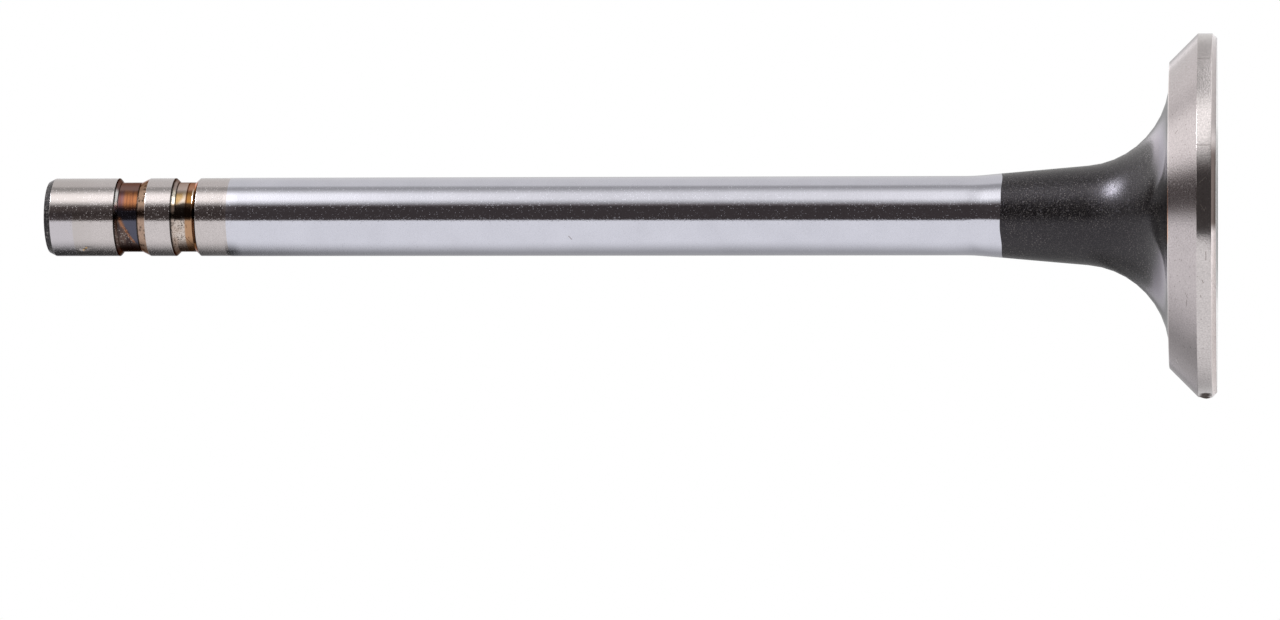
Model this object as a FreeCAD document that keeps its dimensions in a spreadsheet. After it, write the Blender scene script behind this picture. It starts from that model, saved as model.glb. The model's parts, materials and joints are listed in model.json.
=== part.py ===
import FreeCAD, Part
import math
import os
import Sketcher

# An engine valve, turned and ground from one forging. It stands on its head: the combustion face
# lies at height 0 and the stem rises along Z to the tip. Lengths are millimetres, angles degrees.

# Driving dimensions
# Each row is the dimension's name, its value and what it measures.
DIMENSIONS = (
    ("overall_length", 133.8, "combustion face to tip"),
    ("head_diameter", 41.0, "across the cylindrical rim"),
    ("face_chamfer_width", 0.5, "edge chamfer of the face, along the radius"),
    ("face_chamfer_height", 0.5, "edge chamfer of the face, along the axis"),
    ("rim_height", 1.62, "cylindrical rim between chamfer and seat"),
    ("seat_angle", 45.0, "seat cone against the plane of the head"),
    ("seat_width", 4.55, "seat cone, along its slope"),
    ("neck_angle", 5.0, "neck cone against the axis"),
    ("neck_length", 27.4, "combustion face to where the neck cone meets the stem"),
    ("neck_fillet_radius", 10.0, "round between the back of the head and the neck"),
    ("stem_blend_radius", 20.0, "round between the neck and the stem"),
    ("stem_diameter", 9.0, "plated stem, which runs in the guide"),
    ("plating_thickness", 0.02, "hard chrome on the stem"),
    ("tip_chamfer_width", 0.38, "tip chamfer, along the radius"),
    ("tip_chamfer_length", 0.75, "tip chamfer, along the axis"),
    ("tip_land_length", 8.13, "tip to the keeper groove"),
    ("keeper_wall_length", 0.4, "steep upper wall of the keeper groove, along the axis"),
    ("keeper_floor_length", 2.28, "floor of the keeper groove"),
    ("keeper_slope_length", 0.99, "sloped lower wall of the keeper groove, along the axis"),
    ("middle_land_length", 2.91, "keeper groove to ring groove"),
    ("ring_wall_length", 0.5, "each wall of the ring groove, along the axis"),
    ("ring_floor_length", 1.93, "floor of the ring groove"),
    ("lower_land_length", 3.56, "ring groove to the start of the plating"),
    ("groove_depth", 0.49, "both grooves, below the unplated end"),
    ("recess_diameter", 20.8, "round recess in the face, at its edge"),
    ("recess_wall_width", 2.15, "wall of the recess, along the radius"),
    ("recess_depth", 1.1, "face to the floor of the recess"),
    ("recess_round_radius", 0.8, "round at the edge and at the floor of the recess"),
)

# Radii and heights of the head
# Each is a formula in the driving dimensions, so that what meets keeps meeting.
HEAD_RADIUS = "(dims.head_diameter / 2)"
RIM_TOP = "(dims.face_chamfer_height + dims.rim_height)"
SEAT_TOP = f"({RIM_TOP} + dims.seat_width * sin(dims.seat_angle * 1 deg))"
SEAT_RADIUS = f"({HEAD_RADIUS} - dims.seat_width * cos(dims.seat_angle * 1 deg))"

# Radii of the stem
STEM_RADIUS = "(dims.stem_diameter / 2)"
PLAIN_RADIUS = f"({STEM_RADIUS} - dims.plating_thickness)"
GROOVE_RADIUS = f"({PLAIN_RADIUS} - dims.groove_depth)"

# Neck
# The back of the head is flat. The neck cone meets it at the root, a corner which the fillet takes
# away, and meets the stem at a corner which the blend takes away. A tangent is the length from such
# a corner to where its round begins. The fillet keeps within the back of the head and within the
# neck, and the blend keeps to the end of the neck.
NECK_HEIGHT = f"(dims.neck_length - {SEAT_TOP})"
ROOT_RADIUS = f"({STEM_RADIUS} + {NECK_HEIGHT} * tan(dims.neck_angle * 1 deg))"
BACK_WIDTH = f"({SEAT_RADIUS} - {ROOT_RADIUS})"
HALF_ROOT = "((90 + dims.neck_angle) * 0.5 deg)"
FILLET_LIMIT = f"(min(0.95 * {BACK_WIDTH}; 0.9 * {NECK_HEIGHT}) * tan({HALF_ROOT}))"
FILLET_RADIUS = f"min(dims.neck_fillet_radius; {FILLET_LIMIT})"
FILLET_TANGENT = f"({FILLET_RADIUS} / tan({HALF_ROOT}))"
HALF_BLEND = "(dims.neck_angle * 0.5 deg)"
BLEND_LIMIT = f"(0.09 * {NECK_HEIGHT} / tan({HALF_BLEND}))"
BLEND_RADIUS = f"min(dims.stem_blend_radius; {BLEND_LIMIT})"
BLEND_TANGENT = f"({BLEND_RADIUS} * tan({HALF_BLEND}))"

# Heights of the grooves
# They are counted down from the tip, land by land.
KEEPER_TOP = "(dims.overall_length - dims.tip_land_length)"
KEEPER_FLOOR_TOP = f"({KEEPER_TOP} - dims.keeper_wall_length)"
KEEPER_FLOOR_BOTTOM = f"({KEEPER_FLOOR_TOP} - dims.keeper_floor_length)"
KEEPER_BOTTOM = f"({KEEPER_FLOOR_BOTTOM} - dims.keeper_slope_length)"
RING_TOP = f"({KEEPER_BOTTOM} - dims.middle_land_length)"
RING_FLOOR_TOP = f"({RING_TOP} - dims.ring_wall_length)"
RING_FLOOR_BOTTOM = f"({RING_FLOOR_TOP} - dims.ring_floor_length)"
RING_BOTTOM = f"({RING_FLOOR_BOTTOM} - dims.ring_wall_length)"
PLATING_END = f"({RING_BOTTOM} - dims.lower_land_length)"

# Recess in the face
# Each round takes less than half of the wall.
RECESS_RADIUS = "(dims.recess_diameter / 2)"
RECESS_FLOOR_RADIUS = f"({RECESS_RADIUS} - dims.recess_wall_width)"
RECESS_WALL = "hypot(dims.recess_depth; dims.recess_wall_width)"
RECESS_SLOPE = "atan(dims.recess_depth / dims.recess_wall_width)"
RECESS_ROUND = f"min(dims.recess_round_radius; 0.45 * {RECESS_WALL} / tan({RECESS_SLOPE} / 2))"

document = FreeCAD.newDocument("engine_valve")
sheet = document.addObject("Spreadsheet::Sheet", "dims")
for row, (alias, value, meaning) in enumerate(DIMENSIONS, start=1):
    sheet.set(f"A{row}", alias)
    sheet.set(f"B{row}", str(value))
    sheet.set(f"C{row}", meaning)
    sheet.setAlias(f"B{row}", alias)
document.recompute()

body = document.addObject("PartDesign::Body", "engine_valve")
body.Label = "engine_valve"


def size(formula):
    """The value of a formula in the driving dimensions, as a plain number, and 0 for None."""
    if formula is None:
        return 0.0
    result = body.evalExpression(formula)
    return float(getattr(result, "Value", result))


def hollow_arc(start, end, radius):
    """An arc that bulges towards the axis, between two points of an outline that runs upwards."""
    chord = end - start
    rise = math.sqrt(radius**2 - (chord.Length / 2) ** 2)
    outwards = FreeCAD.Vector(chord.y, -chord.x, 0).normalize()
    centre = (start + end) / 2 + outwards * rise
    first = end - centre
    last = start - centre
    circle = Part.Circle(centre, FreeCAD.Vector(0, 0, 1), radius)
    return Part.ArcOfCircle(circle, math.atan2(first.y, first.x), math.atan2(last.y, last.x))


def bind(sketch, name, constraint, formula):
    """Adds a constraint under this name, and ties its value to the formula."""
    sketch.renameConstraint(sketch.addConstraint(constraint), name)
    sketch.setExpression(f"Constraints.{name}", formula)


def half_section(name, corners):
    """A closed outline in the plane of X and Z, through corners of (label, radius, height, arc).

    A radius of None puts the corner on the axis, and a height of None puts it in the plane of the
    face. A hollow arc of radius arc leads on from the corner, or a straight line if arc is None.
    """
    sketch = body.newObject("Sketcher::SketchObject", name)
    plane = next(item for item in body.Origin.OriginFeatures if item.Role == "XZ_Plane")
    sketch.AttachmentSupport = [(plane, "")]
    sketch.MapMode = "FlatFace"
    places = [FreeCAD.Vector(size(radius), size(height), 0) for _, radius, height, _ in corners]
    # An arc is stored from its upper end to its lower, against the way the outline runs.
    starts = [2 if arc else 1 for _, _, _, arc in corners]
    ends = [1 if arc else 2 for _, _, _, arc in corners]
    for number, (_, _, _, arc) in enumerate(corners):
        here = places[number]
        there = places[(number + 1) % len(places)]
        edge = hollow_arc(here, there, size(arc)) if arc else Part.LineSegment(here, there)
        sketch.addGeometry(edge)
    for number in range(len(corners)):
        after = (number + 1) % len(corners)
        sketch.addConstraint(
            Sketcher.Constraint("Coincident", number, ends[number], after, starts[after])
        )
    for number, (label, radius, height, arc) in enumerate(corners):
        corner = (number, starts[number])
        for kind, formula, axis in (("DistanceX", radius, -2), ("DistanceY", height, -1)):
            if formula is None:
                sketch.addConstraint(Sketcher.Constraint("PointOnObject", *corner, axis))
            else:
                distance = Sketcher.Constraint(kind, -1, 1, *corner, size(formula))
                bind(sketch, f"{label}_{kind}", distance, formula)
        if arc:
            rounding = Sketcher.Constraint("Radius", number, size(arc))
            bind(sketch, f"{label}_Radius", rounding, arc)
    document.recompute()
    return sketch


def turned(kind, name, sketch):
    """The outline turned once round the axis: a Revolution adds it and a Groove cuts it."""
    volume_before = body.Shape.Volume if kind == "Groove" else 0
    feature = body.newObject(f"PartDesign::{kind}", name)
    feature.Profile = sketch
    feature.ReferenceAxis = (sketch, ["V_Axis"])
    feature.Angle = 360
    document.recompute()
    change = feature.Shape.Volume - volume_before
    if (kind == "Groove") != (change < 0):
        raise RuntimeError(f"{name} changed the volume by {change:.3f}")


def ring_edge(shape, radius, height):
    """The name of the circular edge round the axis at this radius and height."""
    for number, edge in enumerate(shape.Edges, start=1):
        curve = edge.Curve
        if not isinstance(curve, Part.Circle):
            continue
        if abs(curve.Radius - radius) < 1e-4 and abs(curve.Center.z - height) < 1e-4:
            return f"Edge{number}"
    raise RuntimeError(f"no ring edge at radius {radius:.3f} and height {height:.3f}")


def rounded(name, radius, height, formula):
    """A fillet on the ring edge at this radius and height, with its own radius from the formula."""
    base = body.Tip
    feature = body.newObject("PartDesign::Fillet", name)
    feature.Base = (base, [ring_edge(base.Shape, size(radius), size(height))])
    feature.setExpression("Radius", formula)
    document.recompute()


# Turned blank
# Face, chamfer, rim, seat, back of the head, fillet, neck cone, plated stem, unplated end and tip.
FILLET_START = f"{ROOT_RADIUS} + {FILLET_TANGENT}"
FILLET_END = f"{ROOT_RADIUS} - {FILLET_TANGENT} * sin(dims.neck_angle * 1 deg)"
FILLET_TOP = f"{SEAT_TOP} + {FILLET_TANGENT} * cos(dims.neck_angle * 1 deg)"
BLEND_START = f"{STEM_RADIUS} + {BLEND_TANGENT} * sin(dims.neck_angle * 1 deg)"
BLEND_BOTTOM = f"dims.neck_length - {BLEND_TANGENT} * cos(dims.neck_angle * 1 deg)"
blank_outline = half_section(
    "blank_outline",
    (
        ("face_centre", None, None, None),
        ("face_edge", f"{HEAD_RADIUS} - dims.face_chamfer_width", None, None),
        ("rim_bottom", HEAD_RADIUS, "dims.face_chamfer_height", None),
        ("rim_top", HEAD_RADIUS, RIM_TOP, None),
        ("seat_top", SEAT_RADIUS, SEAT_TOP, None),
        ("fillet_start", FILLET_START, SEAT_TOP, FILLET_RADIUS),
        ("fillet_end", FILLET_END, FILLET_TOP, None),
        ("blend_start", BLEND_START, BLEND_BOTTOM, BLEND_RADIUS),
        ("blend_end", STEM_RADIUS, f"dims.neck_length + {BLEND_TANGENT}", None),
        ("plating_end", STEM_RADIUS, PLATING_END, None),
        ("plain_start", PLAIN_RADIUS, PLATING_END, None),
        ("tip_chamfer", PLAIN_RADIUS, "dims.overall_length - dims.tip_chamfer_length", None),
        ("tip_edge", f"{PLAIN_RADIUS} - dims.tip_chamfer_width", "dims.overall_length", None),
        ("tip_centre", None, "dims.overall_length", None),
    ),
)
turned("Revolution", "turned_blank", blank_outline)

# Keeper groove
# A steep wall towards the tip, a flat floor and a gentle slope towards the head.
keeper_outline = half_section(
    "keeper_outline",
    (
        ("floor_bottom", GROOVE_RADIUS, KEEPER_FLOOR_BOTTOM, None),
        ("slope_edge", PLAIN_RADIUS, KEEPER_BOTTOM, None),
        ("wall_edge", PLAIN_RADIUS, KEEPER_TOP, None),
        ("floor_top", GROOVE_RADIUS, KEEPER_FLOOR_TOP, None),
    ),
)
turned("Groove", "keeper_groove", keeper_outline)

# Ring groove
# It is narrower, with a short slope on both sides.
ring_outline = half_section(
    "ring_outline",
    (
        ("floor_bottom", GROOVE_RADIUS, RING_FLOOR_BOTTOM, None),
        ("lower_edge", PLAIN_RADIUS, RING_BOTTOM, None),
        ("upper_edge", PLAIN_RADIUS, RING_TOP, None),
        ("floor_top", GROOVE_RADIUS, RING_FLOOR_TOP, None),
    ),
)
turned("Groove", "ring_groove", ring_outline)

# Face recess
# A shallow round dish with a conical wall, rounded where the wall meets the face and the floor.
recess_outline = half_section(
    "recess_outline",
    (
        ("centre", None, None, None),
        ("edge", RECESS_RADIUS, None, None),
        ("floor_edge", RECESS_FLOOR_RADIUS, "dims.recess_depth", None),
        ("floor_centre", None, "dims.recess_depth", None),
    ),
)
turned("Groove", "face_recess", recess_outline)
rounded("recess_edge_round", RECESS_RADIUS, None, RECESS_ROUND)
rounded("recess_floor_round", RECESS_FLOOR_RADIUS, "dims.recess_depth", RECESS_ROUND)

# Checks before anything is written
for item in document.Objects:
    if "Invalid" in item.State or "Error" in item.State:
        raise RuntimeError(f"{item.Name} failed: {item.State}")
valve = body.Shape
if valve.isNull() or not valve.isValid() or len(valve.Solids) != 1:
    raise RuntimeError(f"{body.Label} isn't one valid solid")

os.makedirs("parts", exist_ok=True)
valve.exportStep(os.path.join("parts", body.Label + ".step"))
box = valve.optimalBoundingBox(False, False)
print(f"{body.Label}: volume {valve.Volume:.1f}, {len(valve.Faces)} faces")
print(f"box {box.XMin:.3f} {box.YMin:.3f} {box.ZMin:.3f} to {box.XMax:.3f} {box.YMax:.3f} {box.ZMax:.3f}")
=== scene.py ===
# %% [markdown]
# A poppet valve from a diesel engine, dressed for its portrait. The real one is a single forging
# that is turned and ground: a flat head with a ground seat, a neck that is left in its black
# oxide skin, a hard chrome stem, two grooves and a chamfered tip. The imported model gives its
# true size, so the first step is to load that and to keep its box.

# %% Load the frame
import json
import math

import bpy
import numpy as np
from mathutils import Matrix, Vector


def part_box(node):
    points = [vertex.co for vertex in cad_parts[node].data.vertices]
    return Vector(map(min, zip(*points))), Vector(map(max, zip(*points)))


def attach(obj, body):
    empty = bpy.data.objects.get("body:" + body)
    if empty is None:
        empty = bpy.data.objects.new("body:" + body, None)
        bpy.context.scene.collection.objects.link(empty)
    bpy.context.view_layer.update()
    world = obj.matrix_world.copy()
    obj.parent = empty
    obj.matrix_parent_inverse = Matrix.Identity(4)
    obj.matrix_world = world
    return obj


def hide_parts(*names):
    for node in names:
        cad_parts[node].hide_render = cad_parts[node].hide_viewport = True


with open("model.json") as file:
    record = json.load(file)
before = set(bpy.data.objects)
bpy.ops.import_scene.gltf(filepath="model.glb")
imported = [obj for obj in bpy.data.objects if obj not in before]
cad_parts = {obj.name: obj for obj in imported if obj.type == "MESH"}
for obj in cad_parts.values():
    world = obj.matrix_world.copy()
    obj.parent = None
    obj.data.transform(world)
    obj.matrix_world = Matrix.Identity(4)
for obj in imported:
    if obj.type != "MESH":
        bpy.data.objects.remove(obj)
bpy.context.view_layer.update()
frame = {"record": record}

# %% [markdown]
# Every face of the valve is turned round one axis, so half of its section says nearly all. The
# sizes that the frame knows are read from it: the length, the head and the places and radii of
# the stem and grooves. The others are the same driving sizes as in the solid.

# %% Sizes of the valve
MM = 0.001
mounts = {mount["name"]: mount for mount in frame["record"]["mounts"]}
low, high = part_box("engine_valve")
LENGTH = high.z - low.z
HEAD_RADIUS = high.x
STEM_RADIUS = mounts["guide_stem"]["dims"]["r_mm"] * MM
GROOVE_RADIUS = mounts["keeper_groove"]["dims"]["r_mm"] * MM
KEEPER_FLOOR = mounts["keeper_groove"]["dims"]["length_mm"] * MM
RING_FLOOR = mounts["ring_groove"]["dims"]["length_mm"] * MM
KEEPER_HEIGHT = mounts["keeper_groove"]["pos_m"][2]
RING_HEIGHT = mounts["ring_groove"]["pos_m"][2]

FACE_CHAMFER = 0.5 * MM
RIM_TOP = 2.12 * MM
SEAT_WIDTH = 4.55 * MM
NECK_TAPER = math.radians(5)
STEM_START = 27.4 * MM
NECK_ROUND = 10 * MM
STEM_ROUND = 20 * MM
PLATING = 0.02 * MM
PLAIN_END = 21.2 * MM
PLATE_START = 24.2 * MM
TIP_CHAMFER = 0.75 * MM
TIP_FLAT = 4.1 * MM
RECESS_RADIUS = 10.4 * MM
RECESS_FLOOR = 8.25 * MM
RECESS_DEPTH = 1.1 * MM
print(f"length {LENGTH / MM:.1f} mm, head {2 * HEAD_RADIUS / MM:.1f} mm across")

# %% [markdown]
# The section is a list of corners from the middle of the face to the middle of the tip. A
# corner has a round of its own, from 0.03 mm where a grinding wheel left a crisp edge to 20 mm
# where the neck runs into the stem. Beside it stand the number of steps to the next corner and
# the finish of that stretch, so the outline and the finishes can't drift apart.

# %% Corners of the section
seat_drop = SEAT_WIDTH * math.sin(math.radians(45))
back_height = RIM_TOP + seat_drop
neck_root = STEM_RADIUS + (STEM_START - back_height) * math.tan(NECK_TAPER)
plate_radius = STEM_RADIUS + (STEM_START - PLATE_START) * math.tan(NECK_TAPER)
end_radius = STEM_RADIUS - PLATING
plain_start = LENGTH - PLAIN_END
ring_low = RING_HEIGHT - RING_FLOOR / 2
ring_high = RING_HEIGHT + RING_FLOOR / 2
keeper_low = KEEPER_HEIGHT - KEEPER_FLOOR / 2
keeper_high = KEEPER_HEIGHT + KEEPER_FLOOR / 2
WALL_RUN = 0.5 * MM
KEEPER_SLOPE = 0.99 * MM
KEEPER_WALL = 0.4 * MM
CRISP = 0.04 * MM
EASED = 0.07 * MM
SOFT = 0.12 * MM
PLATING_RUN = 0.3 * MM
ring_bottom = ring_low - WALL_RUN
keeper_top = keeper_high + KEEPER_WALL

corners = [
    (0, RECESS_DEPTH, 0, 14, "black_face"),
    (RECESS_FLOOR, RECESS_DEPTH, 0.8 * MM, 7, "black_face"),
    (RECESS_RADIUS, 0, 0.8 * MM, 14, "black_face"),
    (HEAD_RADIUS - FACE_CHAMFER, 0, CRISP, 4, "rim_chamfer"),
    (HEAD_RADIUS, FACE_CHAMFER, CRISP, 9, "ground_rim"),
    (HEAD_RADIUS, RIM_TOP, CRISP, 14, "ground_seat"),
    (HEAD_RADIUS - seat_drop, back_height, EASED, 5, "black_neck"),
    (neck_root, back_height, NECK_ROUND, 10, "black_neck"),
    (plate_radius, PLATE_START, 0, 3, "chrome_stem"),
    (STEM_RADIUS, STEM_START, STEM_ROUND, 12, "chrome_stem"),
    (STEM_RADIUS, plain_start, 0, 1, "ground_stem"),
    (end_radius, plain_start + PLATING_RUN, 0, 9, "ground_stem"),
    (end_radius, ring_bottom, EASED, 3, "ring_groove"),
    (GROOVE_RADIUS, ring_low, SOFT, 8, "ring_groove"),
    (GROOVE_RADIUS, ring_high, SOFT, 3, "ring_groove"),
    (end_radius, ring_high + WALL_RUN, EASED, 9, "ground_stem"),
    (end_radius, keeper_low - KEEPER_SLOPE, SOFT, 4, "keeper_groove"),
    (GROOVE_RADIUS, keeper_low, SOFT, 9, "keeper_groove"),
    (GROOVE_RADIUS, keeper_high, CRISP, 3, "keeper_groove"),
    (end_radius, keeper_top, EASED, 30, "ground_tip"),
    (end_radius, LENGTH - TIP_CHAMFER, EASED, 4, "tip_chamfer"),
    (TIP_FLAT, LENGTH, CRISP, 9, "tip_face"),
    (0, LENGTH, 0, 0, "tip_face"),
]
print(len(corners), "corners in the section")

# %% [markdown]
# A round is worked out from its corner: it starts and ends one tangent length away, and its
# middle lies on the line that halves the corner. Between rounds a side is cut with steps that
# get finer towards both of its ends, which keeps the shading of a flat side flat.

# %% Outline with rounded corners
ROUND_STEP = math.radians(9)


def corner_round(before, corner, after, radius):
    """Points of an arc in a corner: tangent length = radius over the tangent of half the angle
    between its sides, middle = corner plus (sum of the side directions, made one long) times
    radius over the sine of that half angle, and the arc turns evenly from side to side."""
    to_before = (before - corner) / np.linalg.norm(before - corner)
    to_after = (after - corner) / np.linalg.norm(after - corner)
    half = math.acos(np.clip(to_before @ to_after, -1, 1)) / 2
    halving = (to_before + to_after) / np.linalg.norm(to_before + to_after)
    middle = corner + halving * radius / math.sin(half)
    start = corner + to_before * radius / math.tan(half) - middle
    end = corner + to_after * radius / math.tan(half) - middle
    turn = math.pi - 2 * half
    steps = max(3, math.ceil(turn / ROUND_STEP) + 1)
    share = np.linspace(0, 1, steps)[:, None]
    swept = np.sin((1 - share) * turn) * start + np.sin(share * turn) * end
    return middle + swept / math.sin(turn)


def rounded_outline(corners):
    """The section as an array of (radius, height), with the finish of the stretch after each
    point. A side's steps follow (1 - cosine) / 2, so they are fine at its ends."""
    places = np.array([corner[:2] for corner in corners], float)
    stretches = []
    for index, (_, _, radius, _, _) in enumerate(corners):
        if radius:
            stretches.append(corner_round(*places[index - 1:index + 2], radius))
        else:
            stretches.append(places[index:index + 1])
    points = []
    finishes = []
    for index, (_, _, _, steps, finish) in enumerate(corners):
        points.append(stretches[index])
        finishes += [corners[index - 1][4]] * (len(stretches[index]) - 1) + [finish]
        if steps > 1:
            share = (1 - np.cos(np.linspace(0, math.pi, steps + 1)[1:-1, None])) / 2
            start = stretches[index][-1]
            points.append(start + share * (stretches[index + 1][0] - start))
            finishes += [finish] * (steps - 1)
    return np.concatenate(points), finishes


outline, finishes = rounded_outline(corners)
print(len(outline), "points in the outline")

# %% [markdown]
# Sweeping the outline round the axis gives a grid: one direction goes round, the other along
# the section. The two ends lie on the axis, so each of them becomes one point with a fan of
# triangles, which leaves no hole. Handling has left a few dents in the real valve, and they are
# pressed in here as smooth hollows, because a dent changes the outline against the light. A bump on
# the rim's -X side is a dent with its depth turned round, under the spot of painted contact shadow.

# %% Dents and the lathe
ROUND_COUNT = 352
PLATE_WAVE = 0.07 * MM


def dent(points, centre, radius, depth):
    """How far each point is pushed in: depth times (1 - (distance / radius) squared) squared."""
    reach = np.linalg.norm(points - np.array(centre), axis=-1) / radius
    return depth * np.clip(1 - reach ** 2, 0, None) ** 2


def on_side(radius, height, turn):
    """A place on the valve's side: turn is in degrees from the front (-Y) towards +X."""
    angle = math.radians(turn)
    return (radius * math.sin(angle), -radius * math.cos(angle), height)


DENTS = [
    (on_side(end_radius, 129.35 * MM, -57), 0.42 * MM, 0.07 * MM),
    (on_side(end_radius, 129.05 * MM, -52), 0.25 * MM, 0.05 * MM),
    (on_side(HEAD_RADIUS, 1.3 * MM, 20), 0.3 * MM, 0.03 * MM),
    (on_side(HEAD_RADIUS, 1.15 * MM, -38), 0.35 * MM, 0.04 * MM),
    # A bump under the spot of painted contact shadow on the rim.
    (on_side(HEAD_RADIUS, 1.2 * MM, -89), 0.9 * MM, -0.2 * MM),
    (on_side(HEAD_RADIUS - 1.5 * MM, 3.6 * MM, 128), 0.5 * MM, 0.05 * MM),
    (on_side(end_radius, 114.2 * MM, 160), 0.35 * MM, 0.04 * MM),
    ((RECESS_RADIUS * 0.5, RECESS_RADIUS * 0.8, 0.45 * MM), 0.45 * MM, 0.06 * MM),
]


def grid_quads(index, onward):
    """The faces between the rows of a grid: each runs from a point to the next one round, and
    back one row further on."""
    return np.stack([index[:-1], onward[:-1], onward[1:], index[1:]], axis=-1).reshape(-1, 4)


def turned_mesh(name, outline, finishes, materials):
    """Point (i, j) of the grid is outline point i turned by j / ROUND_COUNT of a turn:
    (radius cos, radius sin, height). Dents push it in along the outline's own normal, and near
    the plating's lower edge two sines of the angle are added to the height, so that it wavers."""
    rows = outline[1:-1]
    angle = np.arange(ROUND_COUNT) * 2 * math.pi / ROUND_COUNT
    along = np.gradient(outline, axis=0)[1:-1]
    along /= np.linalg.norm(along, axis=1)[:, None]
    cos, sin = np.cos(angle), np.sin(angle)
    places = np.stack([rows[:, :1] * cos, rows[:, :1] * sin, rows[:, 1:] + 0 * cos], axis=-1)
    outward = np.stack([along[:, 1:] * cos, along[:, 1:] * sin, -along[:, :1] + 0 * cos], axis=-1)
    pushed = sum(dent(places, *each) for each in DENTS)
    places = places - pushed[..., None] * outward
    near_edge = np.exp(-((rows[:, 1:] - PLATE_START) / (1.2 * MM)) ** 2)
    places[..., 2] += near_edge * PLATE_WAVE * (np.sin(3 * angle + 0.4) + 0.6 * np.sin(7 * angle + 2))
    count = len(rows)
    ends = np.array([[0, 0, outline[0, 1]], [0, 0, outline[-1, 1]]])
    points = np.concatenate([places.reshape(-1, 3), ends])
    index = np.arange(count * ROUND_COUNT).reshape(count, ROUND_COUNT)
    onward = np.roll(index, -1, axis=1)
    quads = grid_quads(index, onward)
    first_end = np.full(ROUND_COUNT, len(points) - 2)
    last_end = first_end + 1
    face_fan = np.stack([first_end, onward[0], index[0]], axis=-1)
    tip_fan = np.stack([index[-1], onward[-1], last_end], axis=-1)
    mesh = bpy.data.meshes.new(name)
    mesh.from_pydata(points.tolist(), [], quads.tolist() + face_fan.tolist() + tip_fan.tolist())
    order = [material.name for material in materials]
    slots = np.array([order.index(finish) for finish in finishes[1:-2]])
    fans = [order.index(finishes[0])] * ROUND_COUNT + [order.index(finishes[-1])] * ROUND_COUNT
    mesh.polygons.foreach_set("material_index", np.repeat(slots, ROUND_COUNT).tolist() + fans)
    mesh.polygons.foreach_set("use_smooth", [True] * len(mesh.polygons))
    for material in materials:
        mesh.materials.append(material)
    mesh.update()
    return mesh


# %% [markdown]
# Finishes come next. Each is a small tree of shader nodes, and a few helpers keep such a tree
# readable: the first places a node and feeds its inputs, the second finds the tree from what is
# fed, and the others stand for one kind of node each.

# %% Helpers for node trees
def put(tree, kind, feeds=None, **settings):
    """A node of one kind: settings are its own choices, and feeds gives its inputs numbers or
    the sockets that they read."""
    made = tree.nodes.new(kind)
    for name, value in settings.items():
        setattr(made, name, value)
    for name, value in (feeds or {}).items():
        if isinstance(value, bpy.types.NodeSocket):
            tree.links.new(value, made.inputs[name])
        else:
            made.inputs[name].default_value = value
    return made


def add(kind, feeds, **settings):
    """A node in the tree that the first socket among its feeds belongs to."""
    sockets = [value for value in feeds.values() if isinstance(value, bpy.types.NodeSocket)]
    return put(sockets[0].id_data, kind, feeds, **settings)


def object_place(tree):
    """Where a point of the valve is, in metres from the middle of its face."""
    return put(tree, "ShaderNodeTexCoord").outputs["Object"]


def maths(operation, *values, clamp=False):
    """The result of one sum on numbers or sockets."""
    feeds = dict(enumerate(values))
    return add("ShaderNodeMath", feeds, operation=operation, use_clamp=clamp).outputs[0]


def times(first, second):
    """first times second."""
    return maths("MULTIPLY", first, second)


def times_plus(value, factor, added):
    """value times factor, plus added."""
    return maths("MULTIPLY_ADD", value, factor, added)


def vectors(operation, *values):
    """The result of one sum on vectors: a number for a length, a distance or a dot product."""
    made = add("ShaderNodeVectorMath", dict(enumerate(values)), operation=operation)
    return made.outputs["Value" if operation in {"LENGTH", "DOT_PRODUCT", "DISTANCE"} else 0]


def scaled(vector, factor):
    """A vector times a number."""
    return add("ShaderNodeVectorMath", {0: vector, "Scale": factor}, operation="SCALE").outputs[0]


def fade(value, start, end):
    """0 where value is at start, 1 where it is at end, and a smooth step between them."""
    feeds = {"Value": value, "From Min": start, "From Max": end}
    return add("ShaderNodeMapRange", feeds, interpolation_type="SMOOTHSTEP").outputs[0]


def band(value, start, full, still, end):
    """A smooth step up from start to full, times a smooth step down from still to end."""
    return times(fade(value, start, full), fade(value, end, still))


def noise_at(place, scale, detail):
    """The outputs of a noise round 0.5 whose features are about 1 / scale wide."""
    return add("ShaderNodeTexNoise", {"Vector": place, "Scale": scale, "Detail": detail}).outputs


def cell_pattern(tree, scale):
    """A cell pattern: the distance to the nearest middle in cell widths, and that cell's own
    random number."""
    cells = put(tree, "ShaderNodeTexVoronoi", {"Vector": object_place(tree), "Scale": scale}).outputs
    chance = add("ShaderNodeSeparateColor", {0: cells["Color"]}).outputs[0]
    return cells["Distance"], chance


def blend_colour(share, first, second, way="MIX"):
    """first and second mixed by share, which is a number or a socket."""
    feeds = {0: share, 6: first, 7: second}
    return add("ShaderNodeMix", feeds, data_type="RGBA", blend_type=way).outputs[2]


def dimmed(colour, tone):
    """A colour times a number."""
    grey = add("ShaderNodeCombineColor", {0: tone, 1: tone, 2: tone}).outputs[0]
    return blend_colour(1, colour, grey, "MULTIPLY")


def glaze(colour, *layers):
    """Colours laid over each other in turn, as glazes are. A layer is (mask, strength, colour),
    and covers what is under it as far as its mask times its strength says."""
    for mask, strength, layer in layers:
        colour = blend_colour(times(mask, strength), colour, layer)
    return colour


print("node helpers ready")

# %% [markdown]
# A pattern that several finishes use is a shader node group. It is built once, with named inputs
# that start at usual values, and each finish places it with values of its own.

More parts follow.
